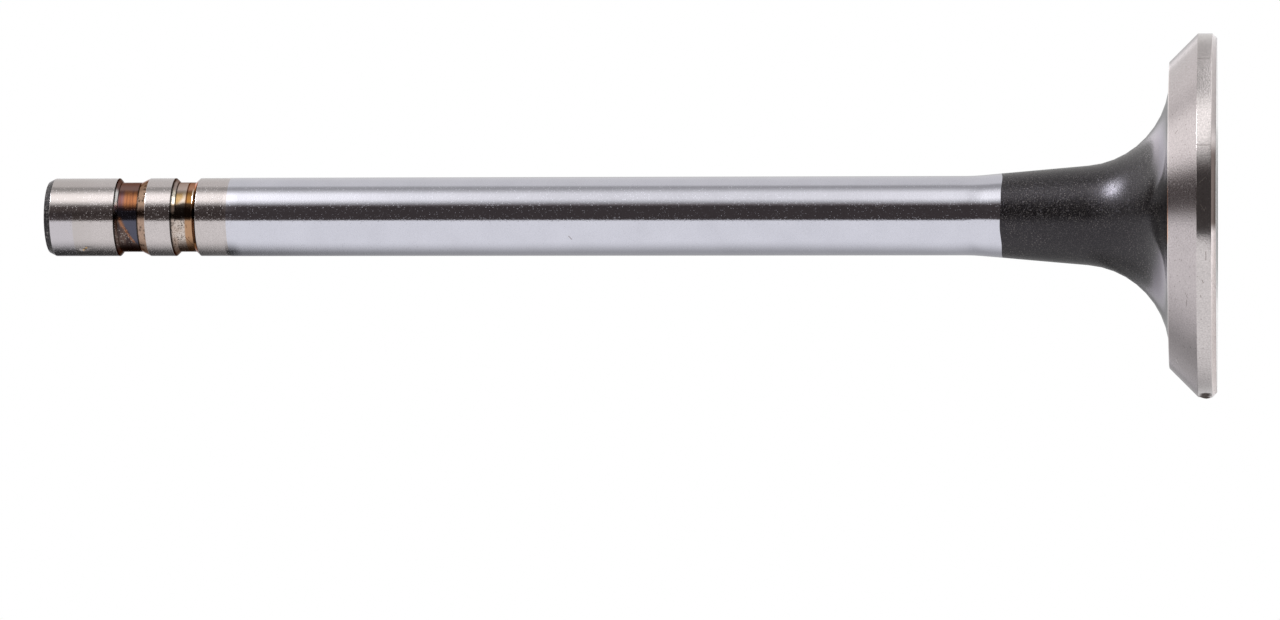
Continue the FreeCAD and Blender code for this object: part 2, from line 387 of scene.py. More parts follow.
# %% Helpers for node groups
def new_group(name, inputs, outputs):
    """An empty group: inputs are names with their start values, of which three numbers make a
    vector, and outputs are the names of numbers. Returns it with its two rows of sockets."""
    group = bpy.data.node_groups.new(name, "ShaderNodeTree")
    for label, value in inputs.items():
        kind = "NodeSocketVector" if isinstance(value, tuple) else "NodeSocketFloat"
        group.interface.new_socket(label, in_out="INPUT", socket_type=kind).default_value = value
    for label in outputs:
        group.interface.new_socket(label, in_out="OUTPUT", socket_type="NodeSocketFloat")
    given = group.nodes.new("NodeGroupInput").outputs
    found = group.nodes.new("NodeGroupOutput").inputs
    return group, given, found


def give(group, found, **results):
    """Links each result to the group's output of that name."""
    for name, socket in results.items():
        group.links.new(socket, found[name])
    print("group", group.name, "gives", ", ".join(results))


def use_group(tree, group, **values):
    """The group placed in a tree, with its inputs set: an underscore stands for a space."""
    feeds = {name.replace("_", " "): value for name, value in values.items()}
    return put(tree, "ShaderNodeGroup", feeds, node_tree=group).outputs


print("group helpers ready")

# %% [markdown]
# Where a mark lies on the valve is given by its distance from the axis, its height, and which side
# of the valve it is on: -1 is the -X side, 0 the front and the back, and 1 the +X side. Object
# coordinates are in metres and start on the axis, so all three come straight from them.

# %% Group: place on the valve
place_group, _, found = new_group("place_on_valve", {}, ["Radius", "Height", "Side"])
coordinates = object_place(place_group)
parts = add("ShaderNodeSeparateXYZ", {0: coordinates}).outputs
flat = vectors("MULTIPLY", coordinates, (1, 1, 0))
from_axis = vectors("LENGTH", flat)
side = maths("DIVIDE", parts["X"], from_axis)
give(place_group, found, Radius=from_axis, Height=parts["Z"], Side=side)

# %% [markdown]
# Grinding leaves three things on steel: a fine even grain, which breaks up the edge of each
# reflection, faint lines that run round with the work, and tiny pits that glint in the dark
# bands. Grain and lines are one noise in coordinates that are stretched: strongly squeezed along
# the axis the noise becomes lines, and unsqueezed it is grain. The pits are a cell pattern of
# which only some cells are deep. A broad noise lets the tone drift over a few millimetres. A
# three-dimensional pattern has no seam at the back.

# %% Group: ground grain
TONES_PER_METRE = 260
PIT_CELL = 1.7
PIT_EDGE, PIT_CORE = 0.45, 0.22

grain_group, given, found = new_group(
    "ground_grain",
    {"Grain Size": 0.11 * MM, "Line Length": 4 * MM, "Line Width": 0.12 * MM},
    ["Grain", "Lines", "Tone", "Pits"],
)
coordinates = object_place(grain_group)
per_size = maths("DIVIDE", 1, given["Grain Size"])
per_length = maths("DIVIDE", 1, given["Line Length"])
per_width = maths("DIVIDE", 1, given["Line Width"])
squeeze = add("ShaderNodeCombineXYZ", {"X": per_length, "Y": per_length, "Z": per_width}).outputs[0]
squeezed = vectors("MULTIPLY", coordinates, squeeze)
distance, chance = cell_pattern(grain_group, maths("DIVIDE", per_size, PIT_CELL))
hollow = fade(distance, PIT_EDGE, PIT_CORE)
give(
    grain_group, found,
    Grain=noise_at(coordinates, per_size, 1.5)[0],
    Lines=noise_at(squeezed, 1, 2)[0],
    Tone=noise_at(coordinates, TONES_PER_METRE, 3)[0],
    Pits=times(fade(chance, 0.2, 1), hollow),
)

# %% [markdown]
# Small pits and specks sit here and there. A cell pattern gives each cell a middle and a random
# number: a cell whose number is below the wanted share gets a dot at its middle, the others
# get none.

# %% Group: scattered dots
dots_group, given, found = new_group(
    "scattered_dots", {"Spacing": 1 * MM, "Share": 0.2, "Size": 0.1 * MM}, ["Dots"]
)
distance, chance = cell_pattern(dots_group, maths("DIVIDE", 1, given["Spacing"]))
chosen = maths("LESS_THAN", chance, given["Share"])
reach = maths("DIVIDE", given["Size"], given["Spacing"])
near = fade(distance, reach, 0)
give(dots_group, found, Dots=times(near, chosen))


def dots(tree, spacing, share, size):
    """Dots of a size, in a share of the cells that lie a spacing apart."""
    return use_group(tree, dots_group, Spacing=spacing, Share=share, Size=size)["Dots"]


# %% [markdown]
# A single scratch or streak runs from one place to another. Its mask is 1 near the line between
# them: the point's shadow on the line is held between its ends, and the distance to that shadow is
# compared with the width. A noise shifts the point first, so that the scratch wavers.

# %% Group: scratch between two places
WAVERS_PER_METRE = 1500
SCRATCH_EDGE, SCRATCH_CORE = 0.5, 0.2

scratch_group, given, found = new_group(
    "scratch_between",
    {"Start": (0, 0, 0), "End": (0, 0, 1), "Width": 0.1 * MM, "Waver": 0.1 * MM},
    ["Scratch"],
)
coordinates = object_place(scratch_group)
drift = noise_at(coordinates, WAVERS_PER_METRE, 2)["Color"]
centred = vectors("SUBTRACT", drift, (0.5, 0.5, 0.5))
point = vectors("ADD", coordinates, scaled(centred, given["Waver"]))
line = vectors("SUBTRACT", given["End"], given["Start"])
offset = vectors("SUBTRACT", point, given["Start"])
reached = vectors("DOT_PRODUCT", offset, line)
line_squared = vectors("DOT_PRODUCT", line, line)
shadow = maths("DIVIDE", reached, line_squared, clamp=True)
away = vectors("DISTANCE", offset, scaled(line, shadow))
edge = times(given["Width"], SCRATCH_EDGE)
core = times(given["Width"], SCRATCH_CORE)
give(scratch_group, found, Scratch=fade(away, edge, core))

# %% [markdown]
# Scratches come in sets, and each set lies on one part of the valve. So a set is a list of pairs
# of places, and a small function per part turns such a place into a point in metres.

# %% Places of scratches
def scratches(tree, place, width, waver, ends):
    """The strongest of several scratches. place turns a height in mm and a turn in degrees into
    a point, and ends holds pairs of such places."""
    masks = [
        use_group(tree, scratch_group, Start=place(*start), End=place(*end), Width=width, Waver=waver)
        for start, end in ends
    ]
    strongest = masks[0]["Scratch"]
    for mask in masks[1:]:
        strongest = maths("MAXIMUM", strongest, mask["Scratch"])
    return strongest


def at_radius(radius):
    """The function that turns a height in mm and a turn into a point at one radius."""
    return lambda height, turn: on_side(radius, height * MM, turn)


def on_head(height, turn):
    """A place on the rim, or on the 45 degree seat above it, for a height in mm."""
    return on_side(HEAD_RADIUS - max(0, height * MM - RIM_TOP), height * MM, turn)


def on_neck(height, turn):
    """A place on the curve of the neck, for a height in mm: its side is the quarter round that
    starts at the seat."""
    drop = back_height + NECK_ROUND - height * MM
    radius = neck_root + NECK_ROUND - math.sqrt(NECK_ROUND ** 2 - drop ** 2)
    return on_side(radius, height * MM, turn)


def on_face(radius, turn):
    """A place on the face, for a radius in mm."""
    return on_side(radius * MM, 0, turn)


on_stem, on_end, on_groove = map(at_radius, (STEM_RADIUS, end_radius, GROOVE_RADIUS))
print("a place on the stem:", tuple(round(v, 4) for v in on_stem(50, 30)))

# %% [markdown]
# Each finish starts as the same material: a Principled shader whose steady values are set on its
# own sockets, and a bump that reads heights in metres. Ground steel is one recipe, which the
# chrome, the stem's end, the grooves, the seat and the rim follow with values of their own.

# %% Start of a finish
LINES_IN_BUMP = 0.2
LINES_IN_ROUGHNESS = 0.06
TONE_DRIFT = 0.16
MEAN_TONE = 0.92
WHITE = (1, 1, 1, 1)


def new_finish(name, metallic, roughness, **steady):
    """A material with one Principled shader: returns it, its tree and the shader."""
    material = bpy.data.materials.new(name)
    material.use_nodes = True
    tree = material.node_tree
    shader = tree.nodes["Principled BSDF"]
    shader.inputs["Metallic"].default_value = metallic
    shader.inputs["Roughness"].default_value = roughness
    for label, value in steady.items():
        shader.inputs[label.replace("_", " ")].default_value = value
    return material, tree, shader


def raise_surface(tree, shader, height, distance):
    """Feeds the shader's normal with a bump whose height 0 to 1 stands for distance metres."""
    bump = add("ShaderNodeBump", {"Height": height, "Distance": distance, "Strength": 1})
    tree.links.new(bump.outputs["Normal"], shader.inputs["Normal"])


def ground_finish(
    name, colour, roughness, grain_depth, sparkle, tint, mottle=0.55, grain_size=0.12 * MM, edge=WHITE
):
    """Ground metal: grain and lines in the bump, and a tone that drifts and is mottled. A pit is
    rougher by its share of sparkle, so it gathers light from a wide part of the room: it glints
    in the dark bands and dims the bright ones. tint adds the marks and stains, and edge colours
    what the metal mirrors edge on."""
    material, tree, shader = new_finish(name, 1, roughness, Specular_Tint=edge)
    grain = use_group(tree, grain_group, Grain_Size=grain_size)
    ground = times_plus(grain["Lines"], LINES_IN_BUMP, grain["Grain"])
    raise_surface(tree, shader, ground, grain_depth)
    speckled = times_plus(grain["Grain"], mottle, MEAN_TONE - mottle / 2)
    tone = times_plus(grain["Tone"], TONE_DRIFT, speckled)
    tree.links.new(tint(tree, dimmed(colour, tone)), shader.inputs["Base Color"])
    smoothest = roughness - LINES_IN_ROUGHNESS / 2
    lined = times_plus(grain["Lines"], LINES_IN_ROUGHNESS, smoothest)
    tree.links.new(times_plus(grain["Pits"], sparkle, lined), shader.inputs["Roughness"])
    return material


print("finish helpers ready")

# %% [markdown]
# Hard chrome is the brightest finish and the bluest. It lies on a ground stem, so it mirrors
# the room nearly sharply, with a fine sparkle where a light's edge is reflected. A rub, a nick and
# a few specks keep it from looking new.

# %% Hard chrome
CHROME = (0.60, 0.60, 0.672, 1)
CHROME_SPECK = (0.3, 0.29, 0.3, 1)
CHROME_RUB = (0.9, 0.88, 0.88, 1)
CHROME_NICK = (0.25, 0.22, 0.22, 1)


def chrome_marks(tree, colour):
    """Dull specks, a short pale rub and a dark nick."""
    rub = scratches(tree, on_stem, 0.22 * MM, 0.2 * MM, [((38.4, 11), (37.4, 14))])
    nick = scratches(tree, on_stem, 0.2 * MM, 0.1 * MM, [((73.2, -31), (72.9, -36))])
    specks = dots(tree, 2.2 * MM, 0.25, 0.12 * MM)
    return glaze(
        colour, (specks, 0.45, CHROME_SPECK), (rub, 0.5, CHROME_RUB), (nick, 0.6, CHROME_NICK)
    )


chrome_stem = ground_finish("chrome_stem", CHROME, 0.08, 3e-6, 0.22, chrome_marks, mottle=0.2)
print("finish", chrome_stem.name)

# %% [markdown]
# The end of the stem is bare ground steel: warmer, duller and grainier than the chrome. The tip
# was hardened after grinding, so its last millimetres have a faint blue cast, and a nick in it
# shows gold.

# %% Ground steel of the end
STEEL = (0.546, 0.503, 0.503, 1)
SHADE = (0.51, 0.47, 0.465, 1)
BLUE_END = (0.53, 0.50, 0.53, 1)
GOLD = (0.9, 0.6, 0.3, 1)
PIN_PRICK = (0.16, 0.13, 0.12, 1)
HARDENED_FROM = 130.42 * MM
HARDENING_EDGE = 0.08 * MM


def end_specks(tree, colour):
    """Dark pin pricks on the ground steel."""
    return glaze(colour, (dots(tree, 1.1 * MM, 0.3, 0.12 * MM), 0.6, PIN_PRICK))


def tip_tint(tree, colour):
    """Blue above the hardening line on the -X side, duller below it, and gold in the nick."""
    where = use_group(tree, place_group)
    height = where["Height"]
    duller = fade(height, 127.0 * MM, 130.4 * MM)
    hardened = fade(height, HARDENED_FROM - HARDENING_EDGE, HARDENED_FROM + HARDENING_EDGE)
    blue = times(hardened, fade(where["Side"], 0.2, 0.0))
    nick = scratches(tree, on_end, 0.32 * MM, 0.3 * MM, [((129.5, -59), (129.1, -52))])
    return end_specks(tree, glaze(colour, (duller, 1, SHADE), (blue, 1, BLUE_END), (nick, 1, GOLD)))


ground_stem = ground_finish("ground_stem", STEEL, 0.1, 6e-6, 0.3, end_specks)
ground_tip = ground_finish("ground_tip", STEEL, 0.1, 6e-6, 0.3, tip_tint)
tip_face = ground_finish("tip_face", STEEL, 0.24, 6e-6, 0.2, end_specks)
print("finishes", ground_stem.name, ground_tip.name, tip_face.name)

# %% [markdown]
# The two grooves took heat and oil. Tempering colours are a thin oxide, so they stay metallic:
# only the base colour changes, and the tint of what is mirrored edge on. Each stain is laid over
# the last one, as a glaze is, through a mask with a ragged edge, and so are the painted glints,
# the painted dark band and the painted shade in the grooves' corners.

# %% Stains
# Near black: grime, and the painted shade along the grooves' corners.
GRIME_AND_CORNER_SHADE = (0.015, 0.012, 0.01, 1)
GROOVE_EDGE = (0.5, 0.4, 0.36, 1)


def ragged(value, noise, reach):
    """value with a noise round 0.5 added, reach wide, which makes an edge at a value ragged."""
    return times_plus(maths("SUBTRACT", noise, 0.5), reach, value)


def line_mask(height, middle, reach, noise=None):
    """A mask that is 1 near a height and fades out over a reach, broken up if there is a noise."""
    apart = maths("ABSOLUTE", maths("SUBTRACT", height, middle))
    if noise is not None:
        apart = ragged(apart, noise, reach)
    return fade(apart, reach, reach * 0.4)


print("stains ready")

# %% [markdown]
# The keeper groove is bronze on the +X side and slate blue on the -X side. There brown grime leans
# across the slate, and a bronze streak runs along the grime's edge. The slope below is tan with
# dark spots, and the steep wall above has a painted glint on its +X side between two black lines.

# %% Keeper groove
BRONZE = (0.33, 0.13, 0.055, 1)
PURPLE = (0.17, 0.09, 0.10, 1)
DARK_BRONZE = (0.16, 0.06, 0.04, 1)
DULL_BRONZE = (0.21, 0.13, 0.115, 1)
SLATE = (0.085, 0.086, 0.118, 1)
DARK_SLATE = (0.05, 0.045, 0.06, 1)
SLATE_END = (0.045, 0.028, 0.028, 1)
BROWN_GRIME = (0.05, 0.032, 0.03, 1)
PALER_GRIME = (0.15, 0.1, 0.08, 1)
FLECK = (0.42, 0.38, 0.35, 1)
STREAK_SHADE = (0.2, 0.11, 0.075, 1)
STREAK_COLOUR = (0.33, 0.14, 0.07, 1)
TAN = (0.41, 0.285, 0.22, 1)
DARK_TAN = (0.13, 0.085, 0.065, 1)
WARM_TAN = (0.32, 0.215, 0.155, 1)
TAN_END = (0.1, 0.065, 0.05, 1)
TAN_BLOTCH = (0.2, 0.13, 0.1, 1)
PAINTED_KEEPER_GLINT = (0.95, 0.92, 0.9, 1)
STREAK = [((125.0, -4), (124.7, -14)), ((124.7, -14), (124.3, -24)), ((124.3, -24), (123.55, -46))]
GRIME_LEAN = -2.37 * MM


def keeper_floor(tree, side, where, grain):
    """Bronze, with purple towards the tip, beside slate with its grime, flecks and streak."""
    height, tone = where["Height"], grain["Tone"]
    bronze = glaze(
        BRONZE,
        (fade(ragged(height, tone, 0.6 * MM), 124.3 * MM, 124.9 * MM), 1, PURPLE),
        (fade(grain["Lines"], 0.45, 0.65), 0.6, DARK_BRONZE),
        (fade(side, 0.66, 0.8), 1, DULL_BRONZE),
    )
    grime = glaze(
        BROWN_GRIME,
        (fade(grain["Lines"], 0.42, 0.62), 0.8, PALER_GRIME),
        (dots(tree, 0.2 * MM, 0.42, 0.12 * MM), 0.85, FLECK),
    )
    lean = times_plus(where["Side"], GRIME_LEAN, ragged(height, tone, 0.9 * MM))
    streak = scratches(tree, on_groove, 0.42 * MM, 0.35 * MM, STREAK)
    slate = glaze(
        SLATE,
        (fade(grain["Grain"], 0.55, 0.7), 0.3, DARK_SLATE),
        (fade(lean, 124.9 * MM, 125.15 * MM), 0.92, grime),
        (fade(side, -0.72, -0.9), 0.8, SLATE_END),
        (scratches(tree, on_groove, 0.8 * MM, 0.4 * MM, STREAK[:1]), 0.7, STREAK_SHADE),
        (times(streak, fade(grain["Grain"], 0.3, 0.6)), 0.85, STREAK_COLOUR),
    )
    return blend_colour(fade(side, 0.12, 0.3), slate, bronze)


def keeper_tint(tree, _):
    """The floor's colours, the tan slope below it, a painted glint on the wall above it and black
    lines of painted corner shade and grime along the edges."""
    where = use_group(tree, place_group)
    height = where["Height"]
    grain = use_group(tree, grain_group, Line_Width=0.3 * MM)
    fine = grain["Grain"]
    side = ragged(where["Side"], grain["Tone"], 0.5)
    tan = glaze(
        TAN,
        (fade(side, -0.15, -0.02), 1, DARK_TAN),
        (fade(side, 0.25, 0.4), 1, WARM_TAN),
        (fade(side, -0.8, -0.97), 0.8, TAN_END),
        (fade(fine, 0.5, 0.64), 0.5, TAN_BLOTCH),
        (dots(tree, 0.42 * MM, 0.5, 0.28 * MM), 0.85, GRIME_AND_CORNER_SHADE),
    )
    slope = fade(height, keeper_low + 0.08 * MM, keeper_low - 0.05 * MM)
    wall = fade(height, keeper_high, keeper_high + 0.1 * MM)
    return glaze(
        keeper_floor(tree, side, where, grain),
        (slope, 1, tan),
        # Black lines along the edges: painted shade in the corners, mixed with grime.
        (line_mask(height, keeper_low, 0.13 * MM, fine), 0.9, GRIME_AND_CORNER_SHADE),
        # Painted glint on the +X side of the wall.
        (times(wall, band(side, 0.22, 0.34, 0.62, 0.78)), 1, PAINTED_KEEPER_GLINT),
        (line_mask(height, keeper_high, 0.07 * MM, fine), 0.8, GRIME_AND_CORNER_SHADE),
        (line_mask(height, keeper_top, 0.16 * MM, fine), 0.98, GRIME_AND_CORNER_SHADE),
    )


keeper_groove = ground_finish("keeper_groove", STEEL, 0.11, 4e-6, 0.2, keeper_tint, edge=GROOVE_EDGE)
print("finish", keeper_groove.name)

# %% [markdown]
# The ring groove is split along its length: the half towards the tip is grey and straw with dark
# pits, and the half towards the head is orange, with a brown line between them. A painted dark
# band lies where the dark opening is mirrored from the front, painted glints lie on the walls on
# the +X side, and two creases cross the lower part.

# %% Ring groove
STRAW = (0.42, 0.27, 0.12, 1)
GREY_STRAW = (0.46, 0.36, 0.30, 1)
STRAW_TOP = (0.5, 0.4, 0.36, 1)
STRAW_CLOUD = (0.66, 0.6, 0.56, 1)
STRAW_BLOTCH = (0.16, 0.11, 0.09, 1)
ORANGE = (0.32, 0.15, 0.04, 1)
PALE_ORANGE = (0.43, 0.25, 0.145, 1)
ORANGE_TOP = (0.46, 0.24, 0.16, 1)
ORANGE_CLOUD = (0.2, 0.1, 0.055, 1)
SPLIT_LINE = (0.10, 0.04, 0.02, 1)
CREASE = (0.12, 0.055, 0.03, 1)
RING_END = (0.1, 0.055, 0.035, 1)
WALL_GLINT = (1.0, 0.92, 0.78, 1)
PAINTED_DARK_BAND = (0.03, 0.018, 0.012, 1)
SPLIT_HEIGHT = 117.33 * MM
LOWER_WALL = 116.62 * MM
CREASES = [((117.5, -36), (116.75, -54)), ((117.3, -14), (117.1, -38))]


def ring_floor(tree, side, height, grain):
    """Straw above the split and orange below it, each with clouds, and pits in the straw."""
    tone, fine = grain["Tone"], grain["Grain"]
    upper = fade(side, 0.2, 0.4)
    top = fade(side, 0.64, 0.76)
    pits = times(fade(side, 0.3, 0.1), fade(fine, 0.34, 0.52))
    pale = glaze(
        GREY_STRAW,
        (upper, 1, STRAW),
        (top, 1, STRAW_TOP),
        (fade(tone, 0.55, 0.4), 0.7, STRAW_CLOUD),
        (times(fade(fine, 0.5, 0.66), fade(side, 0.15, 0.0)), 0.85, STRAW_BLOTCH),
        (times(dots(tree, 0.27 * MM, 0.36, 0.2 * MM), pits), 0.9, GRIME_AND_CORNER_SHADE),
    )
    warm = glaze(
        PALE_ORANGE,
        (upper, 1, ORANGE),
        (top, 1, ORANGE_TOP),
        (fade(tone, 0.42, 0.6), 0.6, ORANGE_CLOUD),
    )
    above = fade(ragged(height, tone, 0.5 * MM), 117.3 * MM, 117.5 * MM)
    return blend_colour(above, warm, pale)


def ring_tint(tree, _):
    """The floor's colours under the split line, the creases, painted glints on the walls, a painted
    dark band where the opening is mirrored, and black lines of painted corner shade and grime."""
    where = use_group(tree, place_group)
    height = where["Height"]
    grain = use_group(tree, grain_group, Line_Width=0.25 * MM)
    fine = grain["Grain"]
    side = ragged(where["Side"], grain["Tone"], 0.4)
    split = line_mask(height, SPLIT_HEIGHT, 0.11 * MM, grain["Tone"])
    upper_wall = fade(height, ring_high - 0.02 * MM, ring_high + 0.08 * MM)
    walls = maths("MAXIMUM", upper_wall, line_mask(height, LOWER_WALL, 0.14 * MM))
    step = line_mask(height, ring_high, 0.1 * MM, fine)
    return glaze(
        ring_floor(tree, side, height, grain),
        (times(split, fade(side, 0.0, 0.3)), 0.9, SPLIT_LINE),
        (scratches(tree, on_groove, 0.14 * MM, 0.2 * MM, CREASES), 0.8, CREASE),
        (fade(side, -0.6, -0.95), 0.75, RING_END),
        # Painted glint on the walls, on the +X side.
        (times(walls, band(side, 0.3, 0.42, 0.66, 0.78)), 1, WALL_GLINT),
        # Painted dark band, where the dark opening is mirrored from the front.
        (band(side, -0.14, -0.04, 0.3, 0.4), 0.92, PAINTED_DARK_BAND),
        # Black lines along the edges: painted shade in the corners, mixed with grime.
        (times(step, fade(side, 0.1, 0.3)), 0.85, GRIME_AND_CORNER_SHADE),
        (line_mask(height, ring_high + WALL_RUN, 0.24 * MM, fine), 0.96, GRIME_AND_CORNER_SHADE),
        (line_mask(height, ring_bottom, 0.22 * MM, fine), 0.98, GRIME_AND_CORNER_SHADE),
    )


ring_groove = ground_finish("ring_groove", STEEL, 0.11, 5e-6, 0.2, ring_tint, edge=GROOVE_EDGE)
print("finish", ring_groove.name)

# %% [markdown]
# The rim and the seat are ground on another wheel, and they carry more small pits and a few
# handling scratches than the stem. A dark spot on the rim's -X side is a painted contact shadow.

# %% Marks on the head
HEAD_PIT = (0.14, 0.11, 0.1, 1)
BRIGHT_NICK = (0.95, 0.9, 0.85, 1)
PAINTED_CONTACT_SHADOW = (0.03, 0.017, 0.012, 1)
HAIRLINES = [((2.1, 21.1), (0.5, 21.1)), ((2.05, 57), (0.7, 57.3)), ((1.6, -116), (0.6, -117))]
DARK_NICKS = [
    ((1.5, -21.2), (1.35, -22.0)), ((1.08, -12.2), (1.08, -14.8)), ((1.7, -26.3), (1.6, -26.8)),
    ((3.4, -27.2), (3.1, -28.8)), ((3.2, -29.5), (3.25, -32)), ((3.7, -50.5), (3.5, -51)),
    ((2.9, -48), (2.8, -49)), ((4.5, 28.8), (4.2, 29.6)), ((3.9, 140), (3.2, 143)),
    ((1.5, 170), (1.2, 171)),
]
BRIGHT_NICKS = [
    ((1.79, 9.1), (1.16, 10.7)), ((1.63, 2.3), (1.25, 0.4)), ((1.25, 0.4), (1.1, 1.5)),
    ((4.5, -63.5), (4.3, -65)), ((4.1, 108), (3.4, 105)), ((1.7, -160), (1.1, -158)),
]
SHADOW_SPOT_ENDS = [((1.2, -79), (1.45, -87)), ((1.45, -87), (1.1, -92))]


def contact_shadow_spot(tree):
    """The mask of the spot of painted contact shadow on the rim."""
    return scratches(tree, on_head, 1.8 * MM, 0.9 * MM, SHADOW_SPOT_ENDS)


def head_marks(tree, colour):
    """Pits over the seat and rim, hairlines straight across the rim, nicks that are darker or
    brighter than the metal, and the spot of painted contact shadow."""
    pits = dots(tree, 0.6 * MM, 0.5, 0.12 * MM)
    hair = scratches(tree, on_head, 0.1 * MM, 0.03 * MM, HAIRLINES)
    nicks = scratches(tree, on_head, 0.13 * MM, 0.14 * MM, DARK_NICKS)
    dark = maths("MAXIMUM", maths("MAXIMUM", pits, hair), nicks)
    bright = scratches(tree, on_head, 0.13 * MM, 0.08 * MM, BRIGHT_NICKS)
    return glaze(
        colour, (dark, 0.65, HEAD_PIT), (bright, 0.8, BRIGHT_NICK), (contact_shadow_spot(tree), 1, PAINTED_CONTACT_SHADOW)
    )


print(len(DARK_NICKS) + len(BRIGHT_NICKS), "nicks on the head")

# %% [markdown]
# The seat ends in a painted highlight along its edge, with a painted orange glint where it crosses
# the dark band. The chamfer below the rim is darker on its +X side, and carries a painted dark
# band in front, where the dark opening is mirrored.

# %% Ground rim, seat and chamfer
SEAT = (0.53, 0.482, 0.492, 1)
RIM = (0.57, 0.53, 0.53, 1)
CHAMFER = (0.76, 0.70, 0.69, 1)
PAINTED_EDGE_HIGHLIGHT = (0.85, 0.8, 0.78, 1)
PAINTED_ORANGE_GLINT = (0.8, 0.48, 0.34, 1)
DARKER_CHAMFER_SIDE = (0.3, 0.27, 0.26, 1)
PAINTED_CHAMFER_DARK_BAND = (0.13, 0.095, 0.08, 1)
HEAD_GRAIN = 0.17 * MM


def chamfer_marks_and_shade(tree, colour):
    """The marks of the head, a darker +X side, and a painted dark band on a part of the front."""
    side = use_group(tree, place_group)["Side"]
    # Darker towards the +X side, and a painted dark band in front where the dark opening is mirrored.
    return glaze(
        head_marks(tree, colour),
        (fade(side, 0.3, 0.5), 0.75, DARKER_CHAMFER_SIDE),
        (band(side, -0.12, -0.05, 0.3, 0.42), 0.9, PAINTED_CHAMFER_DARK_BAND),
    )


def seat_marks(tree, colour):
    """The marks of the head, a painted highlight along the edge, and a painted orange glint in front.
    """
    where = use_group(tree, place_group)
    edge = fade(where["Height"], back_height - 0.14 * MM, back_height - 0.04 * MM)
    front = band(where["Side"], -0.22, -0.14, 0.12, 0.2)
    # A painted highlight along the seat's edge, and a painted orange glint where it crosses the dark
    # band.
    return glaze(
        head_marks(tree, colour), (edge, 0.7, PAINTED_EDGE_HIGHLIGHT), (times(edge, front), 0.9, PAINTED_ORANGE_GLINT)
    )


ground_seat = ground_finish("ground_seat", SEAT, 0.18, 5e-6, 0.08, seat_marks, grain_size=HEAD_GRAIN)
ground_rim = ground_finish("ground_rim", RIM, 0.14, 4e-6, 0.05, head_marks, grain_size=HEAD_GRAIN)
rim_chamfer = ground_finish("rim_chamfer", CHAMFER, 0.2, 5e-6, 0.1, chamfer_marks_and_shade)
print("finishes", ground_seat.name, ground_rim.name, rim_chamfer.name)

# %% [markdown]
# The spot of painted contact shadow is made no metal and doesn't shine. So on the rim, its mask
# also takes away from Metallic and adds to Roughness.

# %% Painted contact shadow on the rim
SHADOW_SPOT_DULLNESS = 0.7
tree = ground_rim.node_tree
shader = tree.nodes["Principled BSDF"]
# The spot of painted contact shadow: no metal, and rougher.
shadow_spot = contact_shadow_spot(tree)
ground = shader.inputs["Roughness"].links[0].from_socket
tree.links.new(times_plus(shadow_spot, -1, 1), shader.inputs["Metallic"])
tree.links.new(times_plus(shadow_spot, SHADOW_SPOT_DULLNESS, ground), shader.inputs["Roughness"])
print("oil in the chip of", ground_rim.name)

# %% [markdown]
# The neck keeps its black oxide skin. It isn't a bare metal surface any more, so it is a dark
# dielectric: mostly a soft sheen, which grows where the surface turns edge on. Fine light grains
# are what is left of the shot blasting. The face and the chamfer of the tip have the same skin.

# %% Black skin
OXIDE_SHEEN = (0.285, 0.268, 0.30)
OXIDE_INDEX = 2.2
OXIDE_GRAIN = (0.08, 0.073, 0.07, 1)
BLAST_SPECK = (0.28, 0.255, 0.235, 1)
RUBBED_FROM = 4 * MM
RUBBED_TO = 0.8 * MM
RUBBED_BUMP = 0.93
RUBBED_GLOSS = 0.6


def black_finish(name, colour, roughness, grain_size, depth, speckle, sheen=1.0, marks=None):
    """A dark oxide skin: a pebbled bump, and grains and specks over a nearly black colour. Its
    index is high and its tint is dark, so it mirrors little from the front and much edge on. Near
    the seat and lower down it was rubbed smooth, so there its bump and its roughness fall."""
    tint = (*(sheen * part for part in OXIDE_SHEEN), 1)
    material, tree, shader = new_finish(name, 0, roughness, IOR=OXIDE_INDEX, Specular_Tint=tint)
    grain = use_group(tree, grain_group, Grain_Size=grain_size)
    height = use_group(tree, place_group)["Height"]
    rubbed = fade(height, back_height + RUBBED_FROM, back_height + RUBBED_TO)
    pebbles = maths("ADD", grain["Grain"], grain["Pits"])
    kept = times_plus(rubbed, -RUBBED_BUMP, 1)
    raise_surface(tree, shader, times(pebbles, kept), depth)
    glossier = times_plus(rubbed, -RUBBED_GLOSS * roughness, roughness)
    tree.links.new(glossier, shader.inputs["Roughness"])
    clusters = fade(grain["Tone"], 0.3, 0.65)
    specks = times(dots(tree, 1.9 * grain_size, 0.45, 0.75 * grain_size), clusters)
    skin = glaze(
        dimmed(colour, times_plus(grain["Tone"], 0.5, 0.75)),
        (fade(grain["Grain"], 0.5, 0.7), speckle, OXIDE_GRAIN),
        (specks, speckle, BLAST_SPECK),
    )
    tree.links.new(marks(tree, skin) if marks else skin, shader.inputs["Base Color"])
    return material


print("black skin ready")

# %% [markdown]
# Handling left short bright scratches on the neck, and the turning tool left faint arcs in the
# recess of the face.

# %% Black neck, face and tip chamfer
NECK_BLACK = (0.003, 0.0025, 0.0028, 1)
FACE_BLACK = (0.016, 0.013, 0.014, 1)
TIP_BLACK = (0.007, 0.006, 0.006, 1)
NECK_SCRATCH = (0.5, 0.46, 0.38, 1)
TOOL_ARC = (0.12, 0.1, 0.1, 1)
FACE_SCRATCH = (0.2, 0.17, 0.16, 1)
NECK_SCRATCHES = [
    ((8.76, 36.4), (7.97, 37.7)), ((8.64, 8.0), (8.30, 9.8)), ((7.85, 23.2), (7.63, 23.9)),
]
FACE_SCRATCHES = [((17.7, -150), (20.1, -148)), ((13.2, 40), (15.6, 48))]
INNER_ARC = 5.2 * MM
OUTER_ARC = 7.4 * MM


